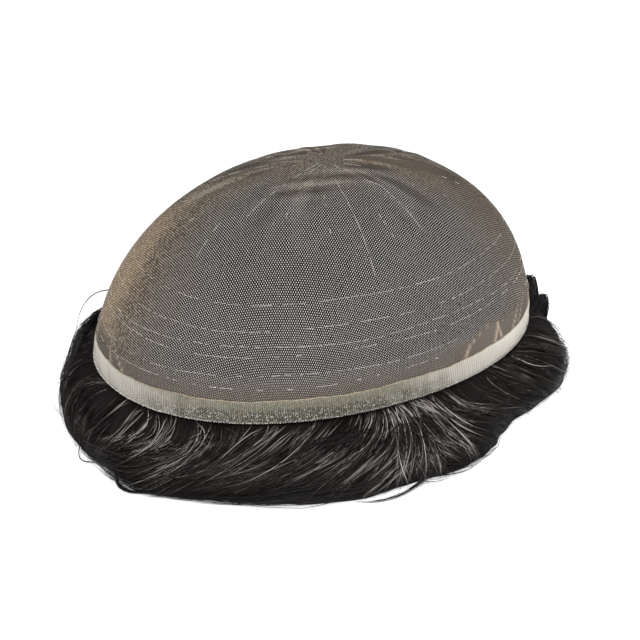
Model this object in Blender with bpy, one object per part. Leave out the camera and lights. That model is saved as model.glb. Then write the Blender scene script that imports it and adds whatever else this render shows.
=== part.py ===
"""Toupee hairpiece, turned inside out and set down on its hair.

Metres, +Z up. -X is the front hairline and +X the back of the head. The part stands on z = 0,
with the middle of its outline at x = y = 0.
"""

import math

import bpy
import numpy as np

# Lace base
BASE_LENGTH = 0.180
BASE_WIDTH = 0.137
DOME_HEIGHT = 0.070
RIM_HEIGHT = 0.019
CROWN_SETBACK = 0.005
LACE_WALL = 0.001
PLEAT_LIFT = 0.0016
CREASE_LIFT = 0.0009

# Perimeter band, sewn on outside the lace
BAND_HEIGHT = 0.009
BAND_WALL = 0.001
BAND_TUCK = 0.0005

# Hair
TOP_HAIR_WALL = 0.009
SKIRT_WALL = 0.008
HAIR_REACH = 0.026
LOCK_WIDTH = 0.016
LOCK_THICKNESS = 0.007
ROOT_TUCK = 0.002
TIP_HEIGHT = 0.001
FAR_LOCK_PITCH = 12.0

# Fits
SEAM_GAP = 0.0003
HAIR_GAP = 0.0005

# Plain shares: how square the rim is in plan, and how full the shoulders of the dome, of the mass of
# outer hair and of a lock on it are
OUTLINE_POWER = 2.1
SHOULDER_POWER = 0.87
SKIRT_POWER = 0.9
LOCK_POWER = 0.72
# How late a lock sweeps round: over 1, most of the sweep comes towards its tip
SWEEP_POWER = 1.2
# A lock's own taper: its thickness at the root and at the tip, as shares of its full thickness
START_FULLNESS = 0.7
TIP_SHARE = 0.22
# How much deeper a lock is on its inner side
ROOTED_DEPTH = 1.8

# The lace's rows, as shares of the quarter turn from its edge to the crown
LACE_ROWS = (0.09, 0.17, 0.26, 0.37, 0.49, 0.61, 0.73, 0.84, 0.93)
HAIR_ROWS = (0.17, 0.37, 0.58, 0.78, 0.93)
# The outer hair's rows, as shares of the quarter turn from under the band down to the surface
SKIRT_ROWS = (0.14, 0.34, 0.56, 0.78, 1.0)
LACE_COLUMNS = 92
BAND_COLUMNS = 92
HAIR_COLUMNS = 48
SKIRT_COLUMNS = 64
LOCK_SIDES = 6
LOCK_STEPS = 7

# Plan angles are degrees from +X, the back, through +Y. The pleats stand over two corners, where the
# lace and the band have more columns: each corner's middle and its spread in degrees.
CORNERS = ((-158, 24), (-34, 20))
CORNER_CROWDING = 2.2

# A gather of spare lace over the band: its plan angle, how far it leans on its way up in degrees,
# its half width in degrees, how high it runs as a share of the quarter turn, its lift as a share.
# A pleat has its full lift from this share of its run, and fades from there up.
PLEAT_RISE = 0.2
PLEATS = (
    # angle, lean, half width, run, lift
    (-176, -6, 2.2, 0.26, 0.7),
    (-167, -8, 2.0, 0.30, 1.0),
    (-158, -8, 2.2, 0.24, 0.8),
    (-149, -6, 2.4, 0.20, 0.5),
    (-51, 9, 2.4, 0.18, 0.5),
    (-42, 10, 2.2, 0.22, 0.8),
    (-33, 9, 2.0, 0.26, 1.0),
    (-24, 8, 2.2, 0.24, 0.8),
    (-15, 6, 2.4, 0.20, 0.6),
)

# A slight crease that leaves the crown: its plan angle, its half width in degrees, its lift as a share.
# The creases run from this share of the quarter turn up to the crown.
CREASE_START = 0.6
CROWN_CREASES = (
    # angle, half width, lift
    (-140, 7, 0.6),
    (-112, 6, 0.5),
    (-78, 8, 0.6),
    (-30, 7, 0.8),
    (4, 8, 1.0),
    (42, 8, 0.8),
    (96, 9, 0.9),
    (138, 8, 1.0),
    (176, 8, 0.9),
)

# How far the mass of hair stands out past the rim, as shares of HAIR_REACH.
SKIRT_REACH = (
    # angle, reach
    (-180, 0.50),
    (-168, 0.56),
    (-156, 0.72),
    (-142, 0.66),
    (-124, 0.72),
    (-108, 0.88),
    (-94, 0.80),
    (-78, 0.58),
    (-60, 0.34),
    (-50, 0.38),
    (-38, 0.50),
    (-24, 0.44),
    (-8, 0.36),
    (8, 0.34),
    (30, 0.44),
    (60, 0.50),
    (90, 0.54),
    (120, 0.48),
    (150, 0.38),
)

# A lock of hair: the plan angle of its root, how far it sweeps round to its tip in degrees, how far its
# tip stands past the rim as a share of HAIR_REACH, how high it ends as a share of RIM_HEIGHT, and its
# width as a share of LOCK_WIDTH. It parts at -90: to the front on one side, to the back on the other.
LOCKS = (
    # root, sweep, reach, lift, width
    (-170, -9, 0.66, 0.05, 1.0),
    (-162, -15, 0.70, 0.00, 0.9),
    (-154, -19, 0.80, 0.10, 1.0),
    (-146, -22, 0.76, 0.00, 1.1),
    (-138, -25, 0.92, 0.00, 0.9),
    (-130, -27, 1.00, 0.12, 1.0),
    (-122, -28, 0.94, 0.00, 1.1),
    (-114, -30, 0.88, 0.08, 0.9),
    (-106, -31, 0.94, 0.00, 1.1),
    (-98, -34, 0.98, 0.10, 1.0),
    (-92, -30, 1.08, 0.00, 1.0),
    (-90, -19, 1.18, 0.00, 0.9),
    (-88, -9, 1.16, 0.05, 0.8),
    (-86, 5, 1.00, 0.00, 0.9),
    (-80, 10, 0.74, 0.08, 0.9),
    (-72, 12, 0.62, 0.00, 1.0),
    (-62, 11, 0.60, 0.12, 0.9),
    (-54, 9, 0.68, 0.00, 1.0),
    (-46, 9, 0.78, 0.14, 0.8),
    (-38, 9, 0.78, 0.20, 1.0),
    (-29, 9, 0.66, 0.10, 0.9),
    (-20, 9, 0.56, 0.35, 0.9),
    (-11, 9, 0.54, 0.60, 0.9),
    (-3, 9, 0.54, 0.80, 0.8),
    (168, 9, 0.62, 0.15, 1.0),
    (158, 11, 0.58, 0.40, 0.9),
    (148, 12, 0.56, 0.10, 1.0),
)
# The side away from the parting is plain: even locks that lean to the front, in turn long and short.
FAR_SIDE = (8, 142)
FAR_SWEEP = 16
FAR_REACH = (0.70, 0.60)
FAR_LIFT = (0.05, 0.20)


def clear_scene():
    for leftover in list(bpy.data.objects):
        bpy.data.objects.remove(leftover)


def finish_material(name, colour, roughness):
    material = bpy.data.materials.new(name)
    material.use_nodes = True
    shader = material.node_tree.nodes["Principled BSDF"]
    shader.inputs["Base Color"].default_value = (*colour, 1.0)
    shader.inputs["Roughness"].default_value = roughness
    shader.inputs["Metallic"].default_value = 0.0
    return material


def mesh_object(name, points, faces, material=None):
    mesh = bpy.data.meshes.new(name)
    mesh.from_pydata(np.asarray(points).tolist(), [], faces)
    mesh.update()
    mesh.shade_smooth()
    mesh.set_sharp_from_angle(angle=math.radians(50))
    if material:
        mesh.materials.append(material)
    made = bpy.data.objects.new(name, mesh)
    bpy.context.scene.collection.objects.link(made)
    return made


def even_angles(count):
    return np.radians(np.arange(count) * 360 / count - 180)


def crowded_angles(count):
    """Plan angles that stand closer together over the pleated corners."""
    steps = np.arange(-180, 181)
    density = np.ones(len(steps))
    for middle, spread in CORNERS:
        density += CORNER_CROWDING * np.exp(-(((steps - middle) / spread) ** 4))
    run = np.concatenate([[0], np.cumsum((density[1:] + density[:-1]) / 2)])
    return np.radians(np.interp(np.arange(count) * run[-1] / count, run, steps))


def rim_radius(angles, inset=0.0):
    """Distance from the middle to the rim's outline in plan, a superellipse, this far inside the lace."""
    across = np.abs(np.cos(angles)) / (BASE_LENGTH / 2 - inset)
    along = np.abs(np.sin(angles)) / (BASE_WIDTH / 2 - inset)
    return (across**OUTLINE_POWER + along**OUTLINE_POWER) ** (-1 / OUTLINE_POWER)


def dome_points(turn, angles, inset):
    """A row of the dome: turn runs from 0 at the rim to a quarter turn at the crown."""
    radius = rim_radius(angles, inset) * np.cos(turn) ** SHOULDER_POWER
    return np.stack(
        [
            radius * np.cos(angles) + CROWN_SETBACK * np.sin(turn),
            radius * np.sin(angles),
            RIM_HEIGHT + (DOME_HEIGHT - inset) * np.sin(turn) * np.ones(len(angles)),
        ],
        axis=-1,
    )


def turn_at(height):
    """The turn at which the dome stands this far above its rim."""
    return math.asin(height / DOME_HEIGHT)


def spread_of(angles, middle, half_width):
    """A smooth hump, 1 at its middle angle in degrees and nothing past about twice its half width."""
    away = (np.degrees(angles) - middle + 180) % 360 - 180
    return np.exp(-((away / half_width) ** 2))


def lace_lift(turn, angles):
    """How far the pleats and the crown's creases lift the lace off its plain dome."""
    share = turn / (math.pi / 2)
    band_share = turn_at(BAND_HEIGHT) / (math.pi / 2)
    lift = np.zeros(len(angles))
    for angle, lean, half_width, run, size in PLEATS:
        climb = (share - band_share) / run
        if 0 < climb < 1:
            fade = min(1.0, climb / PLEAT_RISE) * (1 - climb)
            lift += PLEAT_LIFT * size * fade * spread_of(angles, angle + lean * climb, half_width)
    rise = max(0.0, share - CREASE_START) / (1 - CREASE_START)
    for angle, half_width, size in CROWN_CREASES:
        lift += CREASE_LIFT * size * 2 * rise * (1 - rise) * spread_of(angles, angle, half_width)
    return lift


def closed_shell(name, outer_rows, inner_rows, crowns, material):
    """Two skins of a dome, each in rows from the edge up to its crown point, joined along their edge."""
    columns = len(outer_rows[0])
    points, faces, edges = [], [], []
    for rows, crown, flip in zip((outer_rows, inner_rows), crowns, (False, True)):
        first = len(points)
        points.extend(point for row in rows for point in row)
        points.append(crown)
        top = len(points) - 1
        for row in range(len(rows)):
            start = first + row * columns
            for column in range(columns):
                after = (column + 1) % columns
                face = [start + column, start + after]
                face += [start + columns + after, start + columns + column] if row < len(rows) - 1 else [top]
                faces.append(face[::-1] if flip else face)
        edges.append(first)
    for column in range(columns):
        after = (column + 1) % columns
        faces.append([edges[0] + after, edges[0] + column, edges[1] + column, edges[1] + after])
    return mesh_object(name, points, faces, material)


def dome_shell(name, angles, turns, outer_inset, wall, lift, material):
    """A domed wall whose outer skin lies this far inside the lace's outer face."""
    skins = []
    for inset in (outer_inset, outer_inset + wall):
        skins.append([dome_points(turn, angles, inset - lift(turn, angles)) for turn in turns])
    # Both skins start at one height, so that the wall ends in a level edge.
    skins[1][0][:, 2] = skins[0][0][:, 2]
    crowns = [dome_points(math.pi / 2, np.zeros(1), inset)[0] for inset in (outer_inset, outer_inset + wall)]
    return closed_shell(name, skins[0], skins[1], crowns, material)


def no_lift(turn, angles):
    return np.zeros(len(angles))


def lace_base(material):
    turns = [turn_at(BAND_TUCK)] + [share * math.pi / 2 for share in LACE_ROWS]
    return dome_shell("lace_base", crowded_angles(LACE_COLUMNS), turns, 0.0, LACE_WALL, lace_lift, material)


def perimeter_band(material):
    """A flat tape that stands against the lace, from the rim up."""
    angles = crowded_angles(BAND_COLUMNS)
    turns = [turn_at(height) for height in (0.0, BAND_HEIGHT / 2, BAND_HEIGHT)]
    inner = [dome_points(turn, angles, -SEAM_GAP) for turn in turns]
    outer = [dome_points(turn, angles, -SEAM_GAP - BAND_WALL) for turn in turns]
    loop = outer + inner[::-1]
    for row, partner in ((loop[0], loop[-1]), (loop[2], loop[3])):
        row[:, 2] = partner[:, 2]
    return mesh_object("perimeter_band", np.concatenate(loop), ring_faces(len(loop), len(angles)), material)


def ring_faces(rows, columns):
    """Faces of a closed ring whose cross-section has this many points, first row lowest and outermost."""
    faces = []
    for row in range(rows):
        for column in range(columns):
            after = (column + 1) % columns
            low, high = row * columns, (row + 1) % rows * columns
            faces.append([low + column, low + after, high + after, high + column])
    return faces


def top_hair(material):
    """The lining of hair under the lace. It starts just above the hair that passes under the band."""
    turns = [turn_at(SEAM_GAP)] + [share * math.pi / 2 for share in HAIR_ROWS]
    under = LACE_WALL + HAIR_GAP
    return dome_shell("top_hair", even_angles(HAIR_COLUMNS), turns, under, TOP_HAIR_WALL, no_lift, material)


def skirt_reach(angles):
    """The mass of hair's reach past the rim, a smooth curve through the table's rows."""
    rows = np.array(SKIRT_REACH)
    rows = np.concatenate([rows, [[180, rows[0, 1]]]])
    degrees = (np.degrees(angles) + 180) % 360 - 180
    place = np.clip(np.searchsorted(rows[:, 0], degrees, side="right") - 1, 0, len(rows) - 2)
    share = (degrees - rows[place, 0]) / (rows[place + 1, 0] - rows[place, 0])
    ease = share * share * (3 - 2 * share)
    return HAIR_REACH * (rows[place, 1] * (1 - ease) + rows[place + 1, 1] * ease)


def hair_top():
    """The highest that hair may stand under the band and under the lining."""
    return RIM_HEIGHT - SEAM_GAP


def hair_skirt(material):
    """The mass of the outer hair: a ring that starts flat under the band and bulges out to the surface."""
    angles = even_angles(SKIRT_COLUMNS)
    lip = SEAM_GAP + BAND_WALL
    depth = LACE_WALL + HAIR_GAP + TOP_HAIR_WALL
    rows = []

    def add_row(past_rim, height):
        radius = rim_radius(angles) + past_rim
        level = np.full(len(angles), height)
        rows.append(np.stack([radius * np.cos(angles), radius * np.sin(angles), level], axis=-1))

    below = -LOCK_THICKNESS / 2
    add_row(-SKIRT_WALL, below)
    add_row(lip + skirt_reach(angles), below)
    for share in SKIRT_ROWS[::-1]:
        turn = share * math.pi / 2
        height = hair_top() * math.cos(turn) ** SKIRT_POWER
        add_row(lip + skirt_reach(angles) * math.sin(turn), height)
    add_row(lip, hair_top())
    add_row(-depth, hair_top())
    add_row(-depth, hair_top() / 2)
    return mesh_object("perimeter_hair", np.concatenate(rows), ring_faces(len(rows), len(angles)), material)


def lock_path(root, sweep, reach, lift, steps):
    """The middle line of a lock, from under the band out and down to its tip, with its outward direction."""
    share = np.linspace(0, 1, steps + 1)
    angles = np.radians(root + sweep * share**SWEEP_POWER)
    start = -ROOT_TUCK
    past_rim = start + (HAIR_REACH * reach - start) * np.sin(share * math.pi / 2)
    high = hair_top() - LOCK_THICKNESS * START_FULLNESS / 2 - SEAM_GAP
    low = lift * RIM_HEIGHT + TIP_HEIGHT
    height = low + (high - low) * np.cos(share * math.pi / 2) ** LOCK_POWER
    radius = rim_radius(angles) + past_rim
    path = np.stack([radius * np.cos(angles), radius * np.sin(angles), height], axis=-1)
    lean = share * math.pi / 2
    out = np.stack([np.cos(angles) * np.sin(lean), np.sin(angles) * np.sin(lean), np.cos(lean)], axis=-1)
    return share, path, out


def hair_lock(name, root, sweep, reach, lift, width):
    """A flat tapered lock: ovals carried along its middle line, deeper on the side that joins the mass."""
    share, path, out = lock_path(root, sweep, reach, lift, LOCK_STEPS)
    along = np.gradient(path, axis=0)
    along /= np.linalg.norm(along, axis=1, keepdims=True)
    side = np.cross(along, out)
    side /= np.linalg.norm(side, axis=1, keepdims=True)
    face = np.cross(side, along)
    fullness = START_FULLNESS + (1 - START_FULLNESS) * np.sin(share * math.pi)
    taper = fullness * (1 - (1 - TIP_SHARE) * share**3)
    turns = np.arange(LOCK_SIDES) * 2 * math.pi / LOCK_SIDES
    wide = LOCK_WIDTH * width / 2 * taper[:, None, None] * np.cos(turns)[:, None]
    depth = np.where(np.sin(turns) < 0, ROOTED_DEPTH, 1.0) * np.sin(turns)
    thick = LOCK_THICKNESS / 2 * taper[:, None, None] * depth[:, None]
    points = path[:, None] + side[:, None] * wide + face[:, None] * thick
    faces = []
    for step in range(LOCK_STEPS):
        low = step * LOCK_SIDES
        for corner in range(LOCK_SIDES):
            after = (corner + 1) % LOCK_SIDES
            ring = [low + corner, low + after, low + LOCK_SIDES + after, low + LOCK_SIDES + corner]
            faces.append(ring)
    faces.append(list(range(LOCK_SIDES))[::-1])
    faces.append([LOCK_STEPS * LOCK_SIDES + corner for corner in range(LOCK_SIDES)])
    return guide(mesh_object(name, points.reshape(-1, 3), faces))


def guide(helper):
    helper.hide_render = True
    helper.display_type = "WIRE"
    return helper


def all_locks():
    rows = list(LOCKS)
    start, end = FAR_SIDE
    for number in range(int((end - start) / FAR_LOCK_PITCH) + 1):
        turn = number % 2
        rows.append((start + number * FAR_LOCK_PITCH, FAR_SWEEP, FAR_REACH[turn], FAR_LIFT[turn], 1.0))
    return rows


def surface_block():
    """Everything under the surface that the hair lies on."""
    half = BASE_LENGTH
    depth = 4 * LOCK_THICKNESS
    square = ((-half, -half), (half, -half), (half, half), (-half, half))
    corners = [(x, y, z) for z in (-depth, 0.0) for x, y in square]
    faces = [[3, 2, 1, 0], [4, 5, 6, 7]]
    for corner in range(4):
        after = (corner + 1) % 4
        faces.append([corner, after, after + 4, corner + 4])
    return guide(mesh_object("surface_block", corners, faces))


def perimeter_hair(material):
    """The mass of hair with every lock joined to it, cut level where it lies on the surface."""
    mass = hair_skirt(material)
    bundle = bpy.data.collections.new("locks")
    bpy.context.scene.collection.children.link(bundle)
    helpers = []
    for number, row in enumerate(all_locks()):
        lock = hair_lock(f"lock_{number:02}", *row)
        bpy.context.scene.collection.objects.unlink(lock)
        bundle.objects.link(lock)
        helpers.append(lock)
    join = mass.modifiers.new("join locks", "BOOLEAN")
    join.operation = "UNION"
    join.operand_type = "COLLECTION"
    join.collection = bundle
    level = mass.modifiers.new("level where it lies", "BOOLEAN")
    level.operation = "DIFFERENCE"
    level.object = surface_block()
    return mass, helpers + [level.object]


def centre_on_surface(pieces, helpers):
    """Parents everything to one empty, and moves that so that the outline's middle is at x = y = 0."""
    holder = bpy.data.objects.new("toupee", None)
    bpy.context.scene.collection.objects.link(holder)
    for piece in pieces + helpers:
        piece.parent = holder
    bpy.context.view_layer.update()
    graph = bpy.context.evaluated_depsgraph_get()
    corners = np.array([corner[:] for piece in pieces for corner in piece.evaluated_get(graph).bound_box])
    middle = (corners.min(axis=0) + corners.max(axis=0)) / 2
    holder.location = (-middle[0], -middle[1], 0.0)
    bpy.context.view_layer.update()


def build():
    clear_scene()
    net = finish_material("beige lace", (0.42, 0.36, 0.30), 0.85)
    tape = finish_material("cream mesh tape", (0.62, 0.57, 0.47), 0.75)
    hair = finish_material("dark hair", (0.012, 0.011, 0.011), 0.45)
    lining = finish_material("dark hair under the lace", (0.016, 0.014, 0.014), 0.5)
    outer_hair, helpers = perimeter_hair(hair)
    pieces = [lace_base(net), perimeter_band(tape), top_hair(lining), outer_hair]
    centre_on_surface(pieces, helpers)


build()
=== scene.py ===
import math
import bpy
import numpy as np
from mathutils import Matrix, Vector


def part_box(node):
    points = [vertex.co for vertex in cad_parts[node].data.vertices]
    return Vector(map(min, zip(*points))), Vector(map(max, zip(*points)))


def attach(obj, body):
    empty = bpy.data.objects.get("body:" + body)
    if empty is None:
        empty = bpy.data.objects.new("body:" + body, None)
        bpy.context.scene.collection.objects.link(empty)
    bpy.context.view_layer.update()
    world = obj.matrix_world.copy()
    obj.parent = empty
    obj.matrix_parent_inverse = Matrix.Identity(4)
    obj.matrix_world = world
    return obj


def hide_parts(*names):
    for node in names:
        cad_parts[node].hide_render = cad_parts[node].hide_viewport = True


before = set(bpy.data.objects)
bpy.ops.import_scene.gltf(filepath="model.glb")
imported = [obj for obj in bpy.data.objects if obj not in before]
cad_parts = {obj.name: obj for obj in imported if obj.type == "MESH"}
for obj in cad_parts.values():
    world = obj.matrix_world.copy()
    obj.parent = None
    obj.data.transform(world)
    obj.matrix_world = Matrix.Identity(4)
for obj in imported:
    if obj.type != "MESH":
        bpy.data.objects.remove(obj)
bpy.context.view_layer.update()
print("frame loaded:", ", ".join(sorted(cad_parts)))

laceLow, laceHigh = (np.array(corner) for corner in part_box("lace_base"))
bandLow, bandHigh = (np.array(corner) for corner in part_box("perimeter_band"))
bandTall = bandHigh[2] - bandLow[2]

# The dome that everything hangs on. -x is the front hairline, +x the back, and the photo looks from -y.
dome = {
    "middle": (laceLow + laceHigh)[:2] / 2,
    "halfLength": (laceHigh - laceLow)[0] / 2,
    "halfWidth": (laceHigh - laceLow)[1] / 2,
    "rimHeight": bandLow[2],
    "height": laceHigh[2] - bandLow[2],
    "crownSetback": 0.005,
    "outlinePower": 2.1,
    "shoulderPower": 0.87,
}
quarter = math.pi / 2


# Geometry


def rimRadius(angles, out=0.0):
    # a superellipse in plan: the power sum of the cosine over the length and the sine over the width
    across = np.abs(np.cos(angles)) / (dome["halfLength"] + out)
    along = np.abs(np.sin(angles)) / (dome["halfWidth"] + out)
    return (across ** dome["outlinePower"] + along ** dome["outlinePower"]) ** (-1 / dome["outlinePower"])


def inPlan(radius, angles, height):
    # at a distance from the dome's middle along a plan angle
    x = dome["middle"][0] + radius * np.cos(angles)
    y = dome["middle"][1] + radius * np.sin(angles)
    return np.stack(np.broadcast_arrays(x, y, height), axis=-1)


def pastRim(angles, past, height):
    return inPlan(rimRadius(angles) + past, angles, height)


def domePoints(turns, angles, out=0.0):
    # turn 0 is the rim and a quarter turn the crown: the outline shrinks with a power of the turn's cosine
    # while the height rises with its sine, and the crown sits a little to the back
    turns = np.minimum(turns, quarter)
    shrink = np.cos(turns) ** dome["shoulderPower"]
    height = dome["rimHeight"] + (dome["height"] + out) * np.sin(turns)
    points = inPlan(rimRadius(angles, out) * shrink, angles, height)
    points[..., 0] += dome["crownSetback"] * np.sin(turns)
    return points


def crownPoint(out=0.0):
    # the dome's point at a quarter turn, as a grid of one
    return domePoints(np.full((1, 1), quarter), np.zeros((1, 1)), out)


def turnAt(height):
    # the turn whose sine is the height's share of the dome
    return np.arcsin(np.clip(height / dome["height"], -1, 1))


bandShare = turnAt(bandTall) / quarter  # the band's top edge as a share of the quarter turn


def bell(value, middle, halfWidth):
    # the exponential of minus the square of the distance in half widths
    return np.exp(-(((value - middle) / halfWidth) ** 2))


def hump(angles, middle, halfWidth):
    # a bell round a plan angle, in degrees
    return bell((np.degrees(angles) - middle + 180) % 360 - 180, 0, halfWidth)


def smooth(value, low, high):
    # nought below low and one above high, with three squares less two cubes of the share between
    share = np.clip((value - low) / (high - low), 0, 1)
    return share * share * (3 - 2 * share)


def evenAngles(count):
    return np.arange(count) * 2 * math.pi / count - math.pi


def gridFaces(rows, columns, closedRows=False):
    # quads between neighbours on a grid whose columns close round
    row = np.arange(rows if closedRows else rows - 1)[:, None]
    column = np.arange(columns)[None, :]
    nextRow, nextColumn = (row + 1) % rows, (column + 1) % columns
    corners = ((row, column), (row, nextColumn), (nextRow, nextColumn), (nextRow, column))
    places = [level * columns + across for level, across in corners]
    return np.stack(np.broadcast_arrays(*places), axis=-1).reshape(-1, 4)


def placed(name, data, place=(0, 0, 0), back=(0, 0, 1)):
    # an object in the scene that faces away from the direction back
    made = bpy.data.objects.new(name, data)
    made.location = place
    made.rotation_mode = "QUATERNION"
    made.rotation_quaternion = Vector(back).to_track_quat("Z", "Y")
    bpy.context.scene.collection.objects.link(made)
    return made


def newPiece(name, points, faceSets, material, attributes=None, uv=None):
    points = np.ascontiguousarray(points, np.float32).reshape(-1, 3)
    mesh = bpy.data.meshes.new(name)
    mesh.vertices.add(len(points))
    mesh.vertices.foreach_set("co", points.ravel())
    corners = np.concatenate([faces.ravel() for faces in faceSets]).astype(np.int32)
    sizes = np.concatenate([np.full(len(faces), faces.shape[1]) for faces in faceSets])
    mesh.loops.add(len(corners))
    mesh.loops.foreach_set("vertex_index", corners)
    mesh.polygons.add(len(sizes))
    mesh.polygons.foreach_set("loop_start", (np.cumsum(sizes) - sizes).astype(np.int32))
    mesh.update(calc_edges=True)
    for title, values in (attributes or {}).items():
        layer = mesh.attributes.new(title, "FLOAT", "POINT")
        layer.data.foreach_set("value", np.ascontiguousarray(values, np.float32).ravel())
    if uv is not None:
        layer = mesh.uv_layers.new(name="cloth")
        layer.data.foreach_set("uv", np.ascontiguousarray(uv.reshape(-1, 2)[corners], np.float32).ravel())
    mesh.polygons.foreach_set("use_smooth", np.ones(len(sizes), bool))
    mesh.materials.append(material)
    piece = bpy.data.objects.new(name, mesh)
    bpy.context.scene.collection.objects.link(piece)
    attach(piece, "root")
    print(f"{name}: {int((sizes - 2).sum())} triangles")
    return piece


def shellFaces(rows, columns):
    # two skins of a dome, each a grid with a crown point after it, joined along the first row
    grid = gridFaces(rows, columns)
    count = rows * columns
    column = np.arange(columns)
    after = (column + 1) % columns
    cap = np.stack([count - columns + column, count - columns + after, np.full(columns, count)], axis=-1)
    second = count + 1
    edge = np.stack([after, column, second + column, second + after], axis=-1)
    return [grid, grid[:, ::-1] + second, edge, cap, cap[:, ::-1] + second]


def shellPoints(turns, angles, skins):
    # a skin is a lift over the dome and an inset into it, with its crown point after its grid
    points = []
    for lift, inset in skins:
        points += [domePoints(turns, angles, lift - inset).reshape(-1, 3), crownPoint(-inset).reshape(1, 3)]
    return np.concatenate(points)


def tubeSet(paths, radii, sides, closed=False):
    # many tubes at once: paths is tubes by points by 3, and a ring of sides is carried along each path
    along = np.gradient(paths, axis=1)
    if closed:
        along = np.roll(paths, -1, axis=1) - np.roll(paths, 1, axis=1)
    along /= np.linalg.norm(along, axis=2, keepdims=True) + 1e-12
    up = np.zeros_like(along)
    up[..., 2] = 1.0
    up[np.abs(along[..., 2]) > 0.95] = (1.0, 0.0, 0.0)
    side = np.cross(along, up)
    side /= np.linalg.norm(side, axis=2, keepdims=True)
    face = np.cross(side, along)
    turns = np.arange(sides) * 2 * math.pi / sides
    radii = np.broadcast_to(radii, paths.shape[:2])[..., None, None]
    ring = side[:, :, None] * np.cos(turns)[:, None] + face[:, :, None] * np.sin(turns)[:, None]
    points = paths[:, :, None] + radii * ring
    tubes, steps = paths.shape[:2]
    start = (np.arange(tubes) * steps * sides)[:, None]
    faces = [(gridFaces(steps, sides, closedRows=closed) + start[:, None]).reshape(-1, 4)]
    if not closed:
        ends = np.arange(sides)[None]
        faces += [(start + ends)[:, ::-1], start + (steps - 1) * sides + ends]
    return points, faces


# Shader kit


def newGroup(name, inputs, outputs):
    group = bpy.data.node_groups.new(name, "ShaderNodeTree")
    for title, kind, value in inputs:
        socket = group.interface.new_socket(title, in_out="INPUT", socket_type=kind)
        if value is not None:
            socket.default_value = value
    for title, kind in outputs:
        group.interface.new_socket(title, in_out="OUTPUT", socket_type=kind)
    return group, group.nodes.new("NodeGroupInput").outputs, group.nodes.new("NodeGroupOutput").inputs


def feed(tree, socket, value):
    if isinstance(value, bpy.types.NodeSocket):
        tree.links.new(value, socket)
    else:
        socket.default_value = value


def calc(tree, operation, *values, clamp=False):
    node = tree.nodes.new("ShaderNodeMath")
    node.operation = operation
    node.use_clamp = clamp
    for socket, value in zip(node.inputs, values):
        feed(tree, socket, value)
    return node.outputs[0]


def vectorCalc(tree, operation, *values, output="Vector"):
    node = tree.nodes.new("ShaderNodeVectorMath")
    node.operation = operation
    for socket, value in zip(node.inputs, values):
        feed(tree, socket, value)
    return node.outputs[output]


def easeBetween(tree, value, low, high):
    node = tree.nodes.new("ShaderNodeMapRange")
    node.interpolation_type = "SMOOTHSTEP"
    for title, given in (("Value", value), ("From Min", low), ("From Max", high)):
        feed(tree, node.inputs[title], given)
    return node.outputs["Result"]


def mixColour(tree, factor, first, second):
    node = tree.nodes.new("ShaderNodeMix")
    node.data_type = "RGBA"
    feed(tree, node.inputs[0], factor)
    for socket, value in ((node.inputs[6], first), (node.inputs[7], second)):
        feed(tree, socket, value if isinstance(value, bpy.types.NodeSocket) else (*value, 1.0))
    return node.outputs[2]


def mixValue(tree, factor, first, second):
    node = tree.nodes.new("ShaderNodeMix")
    feed(tree, node.inputs[0], factor)
    feed(tree, node.inputs[2], first)
    feed(tree, node.inputs[3], second)
    return node.outputs[0]


def noise(tree, vector, scale, detail=2.0, output="Fac"):
    node = tree.nodes.new("ShaderNodeTexNoise")
    for title, given in (("Vector", vector), ("Scale", scale), ("Detail", detail)):
        feed(tree, node.inputs[title], given)
    return node.outputs[output]


def mottled(tree, point, scale, detail, low, high):
    return easeBetween(tree, noise(tree, point, scale, detail), low, high)


def reading(tree, title):
    node = tree.nodes.new("ShaderNodeAttribute")
    node.attribute_name = title
    return node.outputs["Fac"]


def coordinates(tree, kind):
    return tree.nodes.new("ShaderNodeTexCoord").outputs[kind]


def netOver(tree, point, finish):
    # the net's threads and knots at a point that slow noise pushes about, so that no weave is quite straight
    scale, amount = finish["wander"]
    push = vectorCalc(tree, "MULTIPLY", noise(tree, point, scale, output="Color"), (amount,) * 3)
    net = tree.nodes.new("ShaderNodeGroup")
    net.node_tree = tulle
    bent = vectorCalc(tree, "ADD", point, push)
    for title, value in (("Point", bent), ("Cell", finish["cell"]), ("Thread", finish["thread"])):
        feed(tree, net.inputs[title], value)
    return net.outputs["Thread"], net.outputs["Knot"]


def tinted(tree, colour, finish, rows):
    # further colours laid over the first: which, where, and how strongly
    for title, where, strength in rows:
        colour = mixColour(tree, calc(tree, "MULTIPLY", where, strength), colour, finish[title])
    return colour


def finishShader(tree, shader, colour, roughness, gloss=0.5, relief=()):
    # relief is a height, its depth in metres and its strength
    feed(tree, shader.inputs["Base Color"], colour)
    shader.inputs["Roughness"].default_value = roughness
    shader.inputs["Specular IOR Level"].default_value = gloss
    if relief:
        node = tree.nodes.new("ShaderNodeBump")
        for title, value in zip(("Height", "Distance", "Strength"), relief):
            feed(tree, node.inputs[title], value)
        feed(tree, shader.inputs["Normal"], node.outputs["Normal"])


def newMaterial(name):
    material = bpy.data.materials.new(name)
    material.use_nodes = True
    return material, material.node_tree, material.node_tree.nodes["Principled BSDF"]


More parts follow.
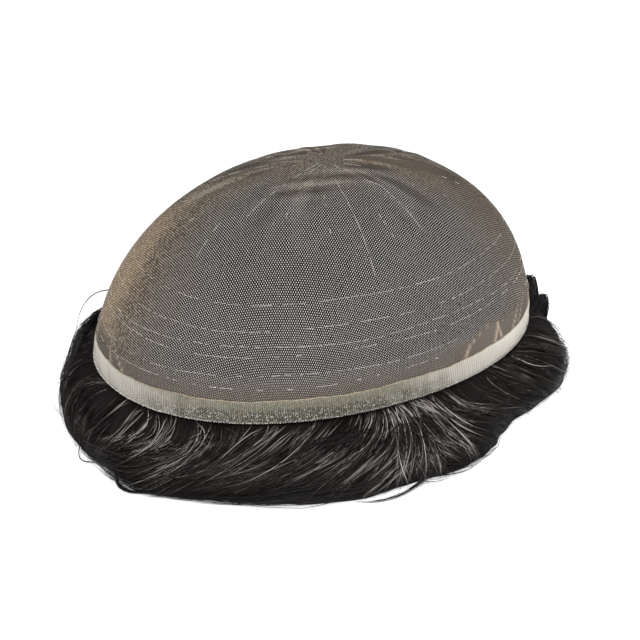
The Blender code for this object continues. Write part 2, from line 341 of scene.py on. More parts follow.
def tulleGroup():
    # Diamond net on a hexagonal lattice: two families of threads lean 30 degrees either way, a thread
    # lies where its family's count comes near a whole number, and a knot where both do
    group, given, put = newGroup(
        "tulle net",
        (
            ("Point", "NodeSocketVector", None),
            ("Cell", "NodeSocketFloat", 0.0009),
            ("Thread", "NodeSocketFloat", 0.1),
        ),
        (("Thread", "NodeSocketFloat"), ("Knot", "NodeSocketFloat")),
    )
    softEdge, knotFull, knotGone = 0.025, 0.18, 0.30
    scale = group.nodes.new("ShaderNodeCombineXYZ")
    for axis in range(3):
        group.links.new(given["Cell"], scale.inputs[axis])
    scaled = vectorCalc(group, "DIVIDE", given["Point"], scale.outputs[0])
    away = []
    for side in (1.0, -1.0):
        lean = (side, 0.57735, 0.0)  # the tangent of 30 degrees
        count = vectorCalc(group, "DOT_PRODUCT", scaled, lean, output="Value")
        away.append(calc(group, "PINGPONG", count, 0.5))
    nearest, both = calc(group, "MINIMUM", *away), calc(group, "ADD", *away)
    low, high = (calc(group, way, given["Thread"], softEdge) for way in ("SUBTRACT", "ADD"))
    feed(group, put["Thread"], calc(group, "SUBTRACT", 1.0, easeBetween(group, nearest, low, high)))
    feed(group, put["Knot"], calc(group, "SUBTRACT", 1.0, easeBetween(group, both, knotFull, knotGone)))
    return group


tulle = tulleGroup()


# Materials

laceFinish = {
    "cell": 0.00098,
    "thread": 0.034,
    "turned": -32.0,
    "wander": (60.0, 0.0012),  # noise scale and metres
    "patches": 55.0,
    "speckle": 900.0,
    "pale": (0.15, 0.142, 0.134),
    "tan": (0.72, 0.53, 0.33),
    # painted highlight on the knots and specks
    "paintedGlint": (0.97, 0.95, 0.92),
    "shade": (0.09, 0.084, 0.079),
    "veil": (0.102, 0.081, 0.064),
    "fold": (0.60, 0.47, 0.35),
    # painted shade in the crease valleys, and also the dark spots of the tan places
    "creaseShadeAndSpots": (0.085, 0.066, 0.052),
    # painted highlight on the crease ridges
    "ridge": (0.60, 0.53, 0.45),
}


def laceMaterial():
    # knots and fine specks with a painted highlight, on dark threads. Where the lace is tan, veiled or
    # doubled, as layers of its mesh tell, it takes those colours and its holes fill up; tan places are
    # speckled with dark spots.
    # Its crease layer paints shade in the valleys and highlight on the ridges, and fills the holes a little.
    material, tree, shader = newMaterial("beige tulle")
    point, place = coordinates(tree, "UV"), coordinates(tree, "Object")
    thread, knot = netOver(tree, point, laceFinish)
    tan, gather, veil, paintedCreaseShading = (reading(tree, title) for title in ("tan", "gather", "veil", "paintedCreaseShading"))
    patchy = mottled(tree, place, laceFinish["patches"], 3.0, 0.3, 0.7)
    speck = mottled(tree, point, laceFinish["speckle"], 1.0, 0.58, 0.70)
    spots = mottled(tree, place, laceFinish["speckle"], 2.0, 0.47, 0.56)
    dense = easeBetween(tree, tan, 0.55, 0.95)
    spots = calc(tree, "MULTIPLY", spots, calc(tree, "MULTIPLY_ADD", dense, -0.25, 1.0))
    mottle = calc(tree, "MULTIPLY", spots, calc(tree, "MULTIPLY", tan, 1.9, clamp=True))
    # painted shade in the crease valleys, joined with the tan places' own dark spots, and painted highlight
    # on the ridges
    creaseShadeAndSpots = calc(tree, "MAXIMUM", calc(tree, "MULTIPLY", paintedCreaseShading, -1.0, clamp=True), mottle)
    ridge = calc(tree, "MULTIPLY", paintedCreaseShading, 1.0, clamp=True)
    betweenKnots = calc(tree, "MULTIPLY_ADD", knot, -0.3, 1.0)
    veiled = calc(tree, "MULTIPLY", calc(tree, "MULTIPLY", veil, 1.25, clamp=True), betweenKnots)
    colour = mixColour(tree, patchy, laceFinish["pale"], laceFinish["shade"])
    # knots and specks take a painted highlight, crease valleys a painted shade and crease ridges a painted
    # highlight
    colour = tinted(tree, colour, laceFinish, (
        ("paintedGlint", knot, 0.92), ("paintedGlint", speck, 0.3), ("tan", tan, 0.75), ("creaseShadeAndSpots", creaseShadeAndSpots, 0.9),
        ("ridge", ridge, 0.5), ("veil", veiled, 1.0), ("fold", gather, 0.85),
    ))
    full = 0.0
    for where, strength in ((gather, 0.8), (tan, 0.34), (dense, 0.06), (ridge, 0.25), (creaseShadeAndSpots, 0.22)):
        full = calc(tree, "MULTIPLY_ADD", where, strength, full, clamp=True)
    full = calc(tree, "MAXIMUM", full, calc(tree, "MULTIPLY", veil, 0.88))
    solid = calc(tree, "MAXIMUM", thread, calc(tree, "MULTIPLY", knot, 0.95))
    cover = mixValue(tree, full, solid, 1.0)
    feed(tree, shader.inputs["Alpha"], calc(tree, "MULTIPLY", cover, reading(tree, "outside")))
    finishShader(tree, shader, colour, 0.62, 0.25, (thread, 0.00012, 0.6))
    return material


tapeFinish = {
    "cell": 0.00092,
    "thread": 0.10,
    "wander": (320.0, 0.0009),  # noise scale and metres
    "patches": 160.0,
    "clouds": 850.0,
    "speckle": 1300.0,
    "stripes": 4900.0,
    "cream": (0.57, 0.53, 0.472),
    "creamGap": (0.22, 0.205, 0.172),
    "olive": (0.028, 0.027, 0.018),
    "dark": (0.010, 0.010, 0.008),
    "mesh": (0.44, 0.41, 0.32),
    "strip": (0.195, 0.178, 0.130),
    "ridge": (0.66, 0.63, 0.57),
    "edge": (0.74, 0.72, 0.66),
    "stitch": (0.88, 0.87, 0.82),
}


def tapeMaterial():
    # cream where cover is high, with fine stripes where it is middling; where it is low, pale mesh over an
    # olive dark, with an even strip above and bright specks below
    material, tree, shader = newMaterial("cream mesh tape")
    point, place = coordinates(tree, "UV"), coordinates(tree, "Object")
    thread = calc(tree, "MAXIMUM", *netOver(tree, point, tapeFinish))
    cover, low, rise = (reading(tree, title) for title in ("cover", "low", "rise"))
    patchy = mottled(tree, place, tapeFinish["patches"], 4.0, 0.35, 0.68)
    cloudy = mottled(tree, point, tapeFinish["clouds"], 2.0, 0.38, 0.62)
    speck = mottled(tree, point, tapeFinish["speckle"], 1.0, 0.61, 0.70)
    under = mixColour(tree, cloudy, tapeFinish["olive"], tapeFinish["dark"])
    seen = mixColour(tree, calc(tree, "MULTIPLY_ADD", cloudy, 0.75, 0.25), under, tapeFinish["mesh"])
    seen = mixColour(tree, thread, under, seen)
    upper = easeBetween(tree, calc(tree, "MULTIPLY_ADD", cloudy, 0.05, rise), 0.56, 0.70)
    seen = tinted(tree, seen, tapeFinish, [("strip", upper, 0.46)])
    holes = calc(tree, "SUBTRACT", 1.0, thread)
    gap = calc(tree, "MULTIPLY", holes, calc(tree, "SUBTRACT", 1.15, cover), clamp=True)
    along = vectorCalc(tree, "DOT_PRODUCT", point, (1.0, 0.55, 0.0), output="Value")
    wave = calc(tree, "SINE", calc(tree, "MULTIPLY", along, tapeFinish["stripes"]))
    middling = calc(tree, "MULTIPLY", cover, calc(tree, "SUBTRACT", 1.0, cover))
    middling = calc(tree, "MULTIPLY", middling, 2.6, clamp=True)
    cream = tinted(tree, tapeFinish["cream"], tapeFinish, (
        ("ridge", thread, 0.35), ("creamGap", gap, 1.0),
        ("creamGap", easeBetween(tree, wave, -0.4, 0.6), middling),
    ))
    share = calc(tree, "MULTIPLY_ADD", calc(tree, "SUBTRACT", patchy, 0.5), 0.16, cover, clamp=True)
    colour = mixColour(tree, easeBetween(tree, share, 0.12, 0.62), seen, cream)
    foot = calc(tree, "SUBTRACT", 1.0, easeBetween(tree, rise, 0.03, 0.11))
    speckled = calc(tree, "MULTIPLY", low, 0.95)
    colour = tinted(tree, colour, tapeFinish, (("edge", foot, 0.35), ("stitch", speck, speckled)))
    finishShader(tree, shader, colour, 0.55, 0.4, (thread, 0.0001, 0.7))
    return material


def threadMaterial(name, light, dark):
    material, tree, shader = newMaterial(name)
    twist = mottled(tree, coordinates(tree, "Object"), 1400.0, 2.0, 0.35, 0.65)
    finishShader(tree, shader, mixColour(tree, twist, light, dark), 0.5, relief=(twist, 0.0001, 0.5))
    return material


hairFinish = {
    "black": (0.0062, 0.0056, 0.0055),
    "brown": (0.028, 0.0225, 0.020),
    # ash is a painted highlight on the strands, and also the colour of one pale hair
    "paleToneAndPaintedHighlight": (0.43, 0.40, 0.385),
    "stretch": (1.0, 0.012, 1.0),
    "fineness": 1600.0,
}


def strandMaterial():
    # from black through brown to a pale ash as the strand's tone and painted shine rise; the pale end is
    # mostly a painted highlight, and on one wisp a pale hair's own colour
    material, tree, shader = newMaterial("dark hair strands")
    toneAndPaintedShine = reading(tree, "toneAndPaintedShine")
    colour = mixColour(tree, easeBetween(tree, toneAndPaintedShine, 0.0, 0.45), hairFinish["black"], hairFinish["brown"])
    colour = mixColour(tree, easeBetween(tree, toneAndPaintedShine, 0.4, 1.6), colour, hairFinish["paleToneAndPaintedHighlight"])
    finishShader(tree, shader, colour, 0.34, 0.12)
    return material


def massMaterial():
    # streaks along the cloth map's second direction, as combed hair has
    material, tree, shader = newMaterial("dark hair mass")
    stretched = vectorCalc(tree, "MULTIPLY", coordinates(tree, "UV"), hairFinish["stretch"])
    run = mottled(tree, stretched, hairFinish["fineness"], 3.0, 0.36, 0.66)
    colour = tinted(tree, hairFinish["black"], hairFinish, [("brown", run, 0.35)])
    finishShader(tree, shader, colour, 0.7, 0.08, (run, 0.0005, 0.9))
    return material


# Lace base

lace = {
    "columns": 460,
    "rows": 60,
    "rowPower": 1.2,
    "wall": 0.00012,
    "tuck": 0.0004,
    "pleatLift": 0.0016,
    "pleatFoot": 0.15,
    "creaseLift": 0.0012,
    "creaseStart": 0.56,
    "creaseWander": 7,
    "creaseShown": 0.10,
    "lookStart": 0.58,
}
# Where the columns of the net's mesh stand closer together: plan angle, half width and how much closer
crowding = ((-50, 22, 2.4), (180, 14, 2.0), (48, 20, 0.8))
# A gather of spare lace over the band: plan angle at its foot, lean on its way up in degrees, how late it
# leans, half width in degrees, run as a share of the quarter turn, lift, and how solid it looks
pleats = (
    # angle, lean, bend, halfWidth, run, lift, doubled
    (-180, -3, 1.1, 1.1, 0.075, 0.7, 0.9), (-174, -9, 1.1, 1.1, 0.085, 0.8, 1.0),
    (168, -4, 1.2, 1.4, 0.075, 0.6, 0.8), (-70.5, 15, 2.3, 1.2, 0.092, 0.8, 1.0),
    (-57.5, 4, 1.0, 1.0, 0.085, 0.9, 1.0), (-53, -2, 1.0, 1.0, 0.075, 0.7, 0.9),
    (-47, 10, 1.2, 1.0, 0.105, 0.9, 1.0), (-43, 9, 1.1, 0.9, 0.095, 0.8, 0.9),
    (-33, 8, 1.2, 1.0, 0.090, 0.8, 0.8), (-22, 6, 1.1, 1.1, 0.080, 0.8, 0.7),
    (-8, 5, 1.1, 1.2, 0.075, 0.6, 0.6), (12, -5, 1.1, 1.2, 0.070, 0.6, 0.6),
    (30, -6, 1.1, 1.1, 0.075, 0.7, 0.7), (44, -8, 1.3, 0.9, 0.080, 0.8, 0.8),
    (58, -6, 1.2, 1.0, 0.070, 0.7, 0.7), (128, 6, 1.2, 1.0, 0.070, 0.6, 0.6),
    (144, 7, 1.2, 0.9, 0.075, 0.7, 0.7), (156, 4, 1.1, 1.0, 0.066, 0.6, 0.6),
)
# A slight crease that leaves the crown: plan angle, half width in degrees, lift as a share
crownCreases = (
    # angle, halfWidth, lift
    (-152, 5, 0.6), (-138, 6, 0.7), (-112, 5, 0.4), (-78, 6, 0.4), (-34, 5, 0.7), (-14, 5, 0.8),
    (4, 6, 1.0), (24, 5, 0.8), (42, 7, 0.8), (70, 5, 0.6), (96, 8, 0.9), (120, 5, 0.7),
    (138, 6, 1.0), (156, 5, 0.7), (174, 6, 0.9), (192, 5, 0.8),
)
# Where the lace looks tan: plan angle, half width in degrees, strength, the shares of the quarter turn
# between which it comes in and goes out, and how much of it goes
tanZones = (
    # angle, halfWidth, strength, inFrom, inTo, outFrom, outTo, loss
    (160, 23, 1.25, 0.07, 0.15, 0.30, 0.75, 0.55),
    (-20, 26, 0.56, -1, 0, 0.45, 0.95, 0.50),
    (80, 62, 0.50, -1, 0, 1, 2, 0),
    (-22, 24, 0.75, 0.55, 0.72, 1, 2, 0),
)
# Waves of painted light and shade round the crown: size, how many round the dome, their turn as they rise,
# and phase
crownWaves = ((0.6, 11, 3, 2.0), (0.5, 19, -4, 0.0), (0.5, 29, 5, 0.0))


def gatheredAngles(count, fineness=7200):
    # equal shares of a density that rises where the lace is gathered
    fine = evenAngles(fineness)
    density = 1 + sum(extra * hump(fine, angle, halfWidth) for angle, halfWidth, extra in crowding)
    total = np.concatenate([[0], np.cumsum(density)])
    places = np.linspace(-math.pi, math.pi, fineness + 1)
    return np.interp(np.arange(count) / count, total / total[-1], places)


def laceRelief(turns, angles, pleated=True):
    # lifts are bells across each pleat that lean as they climb; gather says where the lace is doubled
    share = turns / quarter
    lift = np.zeros(np.broadcast(turns, angles).shape)
    gather = np.zeros_like(lift)
    for angle, lean, bend, halfWidth, run, size, doubled in pleats if pleated else ():
        climb = (share - bandShare) / run
        fade = np.clip(climb / lace["pleatFoot"], 0, 1) * np.clip(1 - climb, 0, 1)
        middle = angle + lean * np.maximum(climb, 0) ** bend
        lift += lace["pleatLift"] * size * hump(angles, middle, halfWidth) * fade
        gather += doubled * hump(angles, middle, 0.45 * halfWidth) * np.sqrt(fade)
    rise = np.clip((share - lace["creaseStart"]) / (1 - lace["creaseStart"]), 0, 1)
    for angle, halfWidth, size in crownCreases:
        middle = angle + lace["creaseWander"] * np.sin(9 * rise + math.radians(3 * angle))
        ridge = size * hump(angles, middle, halfWidth) * 2 * rise * (1 - rise)
        lift += lace["creaseLift"] * ridge
        gather += lace["creaseShown"] * ridge
    return lift, np.clip(gather, 0, 1)


def clothMap(points, angles):
    # distance over the dome from the crown along each meridian, laid out flat in the plan direction
    steps = np.linalg.norm(np.diff(points, axis=0), axis=-1)
    fromCrown = np.concatenate([np.cumsum(steps[::-1], axis=0)[::-1], np.zeros((1, points.shape[1]))])
    turned = angles - math.radians(laceFinish["turned"])
    return np.stack([fromCrown * np.cos(turned), fromCrown * np.sin(turned)], axis=-1)


def laceLook(turns, angles):
    # tan is the strongest of its zones and of the crown's. The veil is a dark, nearly solid strip over the
    # band, which ends higher at the corners. The crease is painted light and shade, highlight above nought
    # and
    # shade below: a sum of waves that fan from the crown and of folds that lie across the view, less three
    # hollows of painted shade.
    share = turns / quarter
    tan = smooth(share, 0.72, 0.92) * (0.32 + 0.12 * hump(angles, 90, 95))
    for angle, halfWidth, strength, inFrom, inTo, outFrom, outTo, loss in tanZones:
        zone = strength * hump(angles, angle, halfWidth) * smooth(share, inFrom, inTo)
        tan = np.maximum(tan, zone * (1 - loss * smooth(share, outFrom, outTo)))
    corners = np.maximum(hump(angles, -56, 17), 0.8 * hump(angles, 48, 22))
    top = bandShare + 0.040 + 0.026 * corners + 0.010 * np.sin(angles * 23) * corners
    veil = (0.70 + 0.30 * corners) * (1 - smooth(share, top, top + 0.022 + 0.030 * (1 - corners)))
    rise = np.clip((share - lace["lookStart"]) / (1 - lace["lookStart"]), 0, 1)
    waves = sum(
        size * np.sin(count * angles + turn * rise + phase) for size, count, turn, phase in crownWaves
    )
    waves = np.clip(waves * 4.6 * rise * (1 - rise) ** 0.7, -1, 1)
    paintedCreaseShading = waves * (0.55 + 0.45 * np.sin(5 * angles + 1.0)) * (1 - 0.9 * hump(angles, -112, 55))
    plan = domePoints(turns, angles)[..., :2]
    depth, across = (plan @ np.array([math.cos(way), math.sin(way)]) for way in np.radians([-122, -32]))
    folds = np.sin(depth * 700 + 1.6 * np.sin(across * 95) + 0.5)
    folds = folds * (0.45 + 0.55 * np.sin(across * 130 + depth * 160))
    paintedCreaseShading = paintedCreaseShading + (1.15 * folds - 0.15) * smooth(share, 0.72, 0.86)
    # painted shade: three dark hollows
    paintedCreaseShading = paintedCreaseShading - 0.9 * hump(angles, -17, 9) * bell(share, 0.75, 0.09)
    paintedCreaseShading = paintedCreaseShading * (1 - smooth(share, 0.92, 0.975))
    paintedCreaseShading = paintedCreaseShading - 0.75 * hump(angles, -22, 26) * smooth(share, 0.10, 0.30)
    paintedCreaseShading = paintedCreaseShading - 0.7 * hump(angles, 150, 12) * bell(share, 0.80, 0.08)
    return {"tan": np.clip(tan, 0, 1), "veil": veil, "paintedCreaseShading": np.clip(paintedCreaseShading, -1, 1)}


def buildLace(material):
    # two skins a wall apart, each a grid from the rim up with one point at the crown, joined along the rim.
    # The outer one shows the net, and the inner one is clear.
    angles = gatheredAngles(lace["columns"])[None, :]
    shares = np.linspace(0, 1, lace["rows"] + 1)[:-1] ** lace["rowPower"]
    foot = turnAt(lace["tuck"])
    turns = (foot + (quarter - foot) * shares)[:, None]
    lift, gather = laceRelief(turns, angles)
    skins, maps, layers = [], [], {}
    for inset in (0.0, lace["wall"]):
        skin, top = domePoints(turns, angles, lift - inset), crownPoint(-inset)
        closed = np.concatenate([skin, np.repeat(top, lace["columns"], axis=1)])
        skins += [skin.reshape(-1, 3), top.reshape(1, 3)]
        maps += [clothMap(closed, angles)[:-1].reshape(-1, 2), np.zeros((1, 2))]
    for title, values in (("gather", gather), *laceLook(turns, angles).items()):
        one = np.concatenate([values.ravel(), [values[-1].mean()]])
        layers[title] = np.concatenate([one, one])
    layers["outside"] = np.repeat([1.0, 0.0], len(one))
    faces = shellFaces(lace["rows"], lace["columns"])
    piece = newPiece("lace", np.concatenate(skins), faces, material, layers, np.concatenate(maps))
    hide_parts("lace_base")
    return piece


# Threads worked into the lace

threadRows = {
    "heights": (0.0050, 0.0096, 0.0168, 0.0200, 0.0258, 0.0345),
    "lowest": 0.0100,
    "from": -200.0,
    "to": 28.0,
    "runs": (1.2, 2.5, 5.0, 9.0),
    "runOdds": (0.42, 0.28, 0.18, 0.12),
    "wander": 0.007,
    "dash": 0.017,
    "radius": 0.000085,
    "steps": 10,
    "seed": 5,
}
# Radial threads that fan down from the crown: plan angle and turn share at the top and at the foot, and how
# much of the thread shows
radialThreads = (
    # topAngle, topShare, footAngle, footShare, shown
    (-112, 0.89, -107, 0.773, 1.0), (-107, 0.773, -104, 0.623, 0.95), (-104, 0.623, -102, 0.457, 0.75),
    (-166, 0.98, -160, 0.90, 0.9), (-160, 0.90, -161, 0.69, 0.75), (-77, 0.84, -71, 0.79, 0.9),
    (-72, 0.79, -72, 0.57, 0.75), (-148, 0.98, -152, 0.93, 0.8), (-91, 0.97, -85, 0.90, 0.7),
    (-52, 0.96, -47, 0.90, 0.7), (-130, 0.97, -126, 0.90, 0.6), (-20, 0.97, -24, 0.91, 0.6),
    (-66, 0.68, -63, 0.58, 0.35), (-124, 0.80, -119, 0.62, 0.3), (-146, 0.86, -141, 0.62, 0.3),
    (-92, 0.78, -88, 0.56, 0.3), (-46, 0.80, -40, 0.55, 0.3), (-72, 0.46, -70, 0.32, 0.25),
    (-170, 0.66, -167, 0.50, 0.3), (-26, 0.78, -22, 0.52, 0.25), (178, 0.84, 176, 0.55, 0.3),
    (150, 0.86, 147, 0.58, 0.3), (120, 0.86, 118, 0.55, 0.3), (92, 0.86, 90, 0.56, 0.3),
    (60, 0.86, 62, 0.55, 0.3), (30, 0.84, 33, 0.55, 0.3), (4, 0.84, 8, 0.55, 0.3),
)


def threadDashes(rng):
    # a row is a chain of runs of stitching with gaps between them, whose height wanders with a sine of the
    # plan angle; a radial thread is a chain of dashes, some of them missing
    starts, ends, weights = [], [], []
    for height in threadRows["heights"]:
        turn = turnAt(bandTall + height * 0.92)
        here = threadRows["from"]
        while here < threadRows["to"]:
            if height < threadRows["lowest"] and -76 < here < -30:
                here = -30
            run = rng.choice(threadRows["runs"], p=threadRows["runOdds"]) * rng.uniform(0.7, 1.3)
            first, last = math.radians(here), math.radians(here + run)
            firstTurn, lastTurn = (
                turn + threadRows["wander"] * math.sin(place * 5 + height * 700) for place in (first, last)
            )
            starts.append((first, firstTurn + rng.normal(0, 0.002)))
            ends.append((last, lastTurn))
            weights.append(rng.uniform(0.6, 1.35) if run < 2 else rng.uniform(0.5, 0.95))
            here += run + rng.exponential(1.6) * (1.0 if run > 2 else 1.8)
    for topAngle, topShare, footAngle, footShare, shown in radialThreads:
        count = int((topShare - footShare) / threadRows["dash"]) + 1
        shares = np.linspace(topShare, footShare, count + 1)
        leans = np.radians(np.linspace(topAngle, footAngle, count + 1))
        for place in np.flatnonzero(rng.random(count) < shown):
            starts.append((leans[place], shares[place] * quarter))
            ends.append((leans[place + 1], shares[place + 1] * quarter))
            weights.append(rng.uniform(0.55, 0.95))
    return np.array(starts), np.array(ends), np.array(weights)


def buildThreads(material):
    # tubes along straight dashes in plan angle and turn, which bob a little over the lace and vary in width
    rng = np.random.default_rng(threadRows["seed"])
    start, end, weight = threadDashes(rng)
    share = np.linspace(0, 1, threadRows["steps"])[None, :]
    angles = start[:, :1] + (end - start)[:, :1] * share
    turns = start[:, 1:] + (end - start)[:, 1:] * share
    lift, _ = laceRelief(turns, angles)
    over = 0.00004 + 0.00006 * np.abs(np.sin(math.pi * share * 3))
    turns = turns + rng.normal(0, 0.0009, turns.shape)
    paths = domePoints(turns, angles, lift + over)
    radii = threadRows["radius"] * weight[:, None] * rng.uniform(0.55, 1.35, (1, threadRows["steps"]))
    points, faces = tubeSet(paths, radii, 4)
    return newPiece("lace_threads", points, faces, material)


# Perimeter band

band = {
    "columns": 720,
    "rows": 9,
    "wall": 0.0003,
    "gap": 0.0001,
    "raised": 0.0010,
    "crown": 0.00015,
    "ripple": 0.00008,
    "hemRadius": 0.00019,
    "stitchPitch": 0.00092,
    "stitchRadius": 0.00016,
    "stitchTall": (0.0003, 0.0010),
    "stitchSeed": 11,
    "weaveTilt": 21.0,
}


def bandWave(angles):
    # the tape's edges wander a little where it was sewn round the curve
    waves = 0.00018 * np.sin(angles * 11 + 0.6) + 0.00012 * np.sin(angles * 29)
    return waves + 0.00007 * np.sin(angles * 71 + 1.0)


def bandPoints(heights, angles, out):
    # on the dome at a height over its rim
    return domePoints(turnAt(heights) * np.ones_like(angles), angles, out)


def buildBand(material):
    # a closed loop of tape: up its outer face, which is crowned by the root of a sine, over, and down its
    # inner face
    angles = evenAngles(band["columns"])[None, :]
    share = np.linspace(0, 1, band["rows"])
    half = band["wall"] * 0.55
    outer = band["gap"] + half + (band["wall"] - half + band["crown"]) * np.sin(math.pi * share) ** 0.5
    inner = np.full(band["rows"], band["gap"])
    shares = np.concatenate([share, share[::-1]])[:, None]
    outs = np.concatenate([outer, inner[::-1]])[:, None]
    top = bandTall + bandWave(angles)
    bottom = band["raised"] + 0.6 * bandWave(angles + 1.0)
    heights = bottom + (top - bottom) * shares
    ripple = band["ripple"] * np.sin(angles * 47 + 5 * shares) * (outs > band["gap"] + 1e-9)
    points = bandPoints(heights, angles, outs + ripple)
    around = np.cumsum(np.linalg.norm(np.diff(points[0], axis=0, append=points[0][:1]), axis=-1))
    along, over = math.cos(math.radians(band["weaveTilt"])), math.sin(math.radians(band["weaveTilt"]))
    uv = np.stack([around * along - heights * over, around * over + heights * along], axis=-1)
    whole = np.ones_like(heights)
    cover = np.maximum.reduce([hump(angles, -192, 30), 1.08 * hump(angles, -28, 55), hump(angles, 80, 95)])
    low = (1 - smooth(shares, 0.25, 0.7)) * (0.5 + 0.5 * hump(angles, -118, 26))
    layers = {"cover": np.clip(cover * 1.05, 0, 1) * whole, "low": low, "rise": shares * whole}
    faces = [gridFaces(len(shares), band["columns"], closedRows=True)]
    piece = newPiece("band", points, faces, material, layers, uv)
    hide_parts("perimeter_band")


def buildBandHem(material):
    # a closed tube along the band's top edge
    angles = evenAngles(band["columns"])
    out = band["gap"] + band["wall"] * 0.5
    path = bandPoints(bandTall + bandWave(angles) + 0.0001, angles, out)[None]
    points, faces = tubeSet(path, band["hemRadius"], 6, closed=True)
    newPiece("band_hem", points, faces, material)


def buildBandStitches(material):
    # small loops over the lower edge: from the outer face, down round the edge, to the inner face
    length = 2 * math.pi * math.sqrt((dome["halfLength"] ** 2 + dome["halfWidth"] ** 2) / 2)
    count = int(length / band["stitchPitch"])
    rng = np.random.default_rng(band["stitchSeed"])
    where = (np.arange(count) + rng.uniform(-0.2, 0.2, count)) * 2 * math.pi / count - math.pi
    share = np.linspace(0, 1, 6)[None, :]
    climb = np.abs(np.cos(math.pi * share)) ** 1.5 * np.where(share < 0.5, 1.0, 0.6)
    heights = band["raised"] - 0.0002 + rng.uniform(*band["stitchTall"], (count, 1)) * climb
    outs = band["gap"] - 0.0001 + (band["wall"] + 0.0003) * (0.5 + 0.5 * np.cos(math.pi * share))
    lean = where[:, None] + 0.006 * (share - 0.5)
    paths = bandPoints(heights, lean, outs)
    points, faces = tubeSet(paths, band["stitchRadius"] * rng.uniform(0.7, 1.15, (count, 1)), 4)
    newPiece("band_stitches", points, faces, material)


# Hair

hair = {
    "reach": 0.026,
    "top": dome["rimHeight"] - 0.0003,
    "floor": 0.0002,
}
# How far the mass of hair stands out past the rim, as shares of the reach
skirtReach = (
    # angle, reach
    (-180, 0.56), (-168, 0.63), (-160, 0.70), (-152, 0.71), (-144, 0.76), (-130, 0.86), (-122, 0.93),
    (-112, 0.96), (-104, 0.86), (-97, 0.84), (-88, 0.88), (-80, 0.81), (-74, 0.70), (-68, 0.55),
    (-60, 0.44), (-51, 0.51), (-38, 0.65), (-24, 0.57), (-8, 0.38), (8, 0.38), (30, 0.48), (60, 0.56),
    (90, 0.58), (120, 0.54), (140, 0.50), (152, 0.42),
)
# How the hair is swept: plan angle of a root, the turn in degrees of its strand half way down and at its
# tip, and how strong a painted highlight it takes. It parts at -93, to the front on one side and to the back
# on the other.
flowRows = (
    # root, halfTurn, tipTurn, painted shine
    (-178, -3, 5, 0.70), (-172, 2, -1, 0.85), (-167, 3, -5, 1.05), (-162, 4, -7, 1.20),
    (-158, 4, -7, 1.25), (-154, 4, -8, 1.20), (-150, 3, -9, 1.05), (-146, 2, -10, 0.90),
    (-142, 0, -13, 0.72), (-136, -3, -16, 0.70), (-130, -5, -20, 0.72), (-124, -6, -22, 0.72),
    (-114, -10, -25, 0.84), (-108, -11, -26, 1.00), (-104, -9, -22, 1.25), (-100, -4, -14, 1.35),
    (-97, -2, -7, 1.35), (-94, -1, 1, 1.30), (-90, 0, 9, 1.20), (-86, 1, 13, 1.05),
    (-81, 1, 13, 0.85), (-75, 0, 10, 0.70), (-66, 0, 10, 0.62), (-57, -1, 9, 0.58), (-48, 1, 9, 0.55),
    (-38, 2, 9, 0.60), (-30, 1, 7, 0.50), (-15, 0, 6, 0.45), (0, 2, 9, 0.45), (20, 5, 14, 0.55),
    (50, 5, 15, 0.70), (90, 6, 16, 0.70), (130, 5, 14, 0.60), (150, 3, 9, 0.50), (168, 1, 5, 0.50),
)
# The outline of the tips: how far they reach past the rim at a plan angle, as shares of the reach, and the
# height of the lowest tips there as a share of the rim's height
tipRows = (
    # angle, reach, lift
    (-179, 0.60, 0.12), (-173, 0.76, 0.10), (-168, 0.80, 0.05), (-163, 0.92, 0.02), (-157, 0.98, 0.02),
    (-150, 0.94, 0.02), (-144, 0.90, 0.02), (-137, 0.94, 0.02), (-130, 0.99, 0.02), (-122, 1.08, 0.02),
    (-109, 1.18, 0.02), (-97, 1.14, 0.02), (-88, 1.04, 0.02), (-80, 0.94, 0.03), (-74, 0.84, 0.05),
    (-69, 0.68, 0.14), (-60, 0.60, 0.22), (-51, 0.62, 0.10), (-45, 0.68, 0.06), (-37, 0.77, 0.09),
    (-29, 0.73, 0.09), (-20, 0.58, 0.06), (-11, 0.48, 0.04), (-2, 0.46, 0.04), (12, 0.52, 0.05),
    (40, 0.66, 0.05), (80, 0.66, 0.05), (120, 0.66, 0.05), (145, 0.60, 0.08), (160, 0.54, 0.08),
    (170, 0.60, 0.10),
)


def aroundTable(rows, angles, column, ease=True):
    # reads a column of a table by plan angle, joined round the circle with smooth or straight steps
    rows = np.array(sorted(rows))
    degrees, values = rows[:, 0], rows[:, column]
    degrees = np.concatenate([[degrees[-1] - 360], degrees, [degrees[0] + 360]])
    values = np.concatenate([[values[-1]], values, [values[0]]])
    here = (np.degrees(angles) + 180) % 360 - 180
    place = np.clip(np.searchsorted(degrees, here, side="right") - 1, 0, len(degrees) - 2)
    share = (here - degrees[place]) / (degrees[place + 1] - degrees[place])
    if ease:
        share = smooth(share, 0, 1)
    return values[place] * (1 - share) + values[place + 1] * share


def combed(slant, first, second, size, phase):
    # the relief of combed locks: two sines of a slanted plan angle
    return np.sin(slant * first) + size * np.sin(slant * second + phase)


hairMass = {
    "columns": 520,
    "rows": 24,
    "fullness": 0.969,
    "steepness": 1.25,
    "relief": 0.0006,
    "lip": 0.0012,
    "depth": 0.0105,
    "wall": 0.008,
    "footWall": 0.004,
}


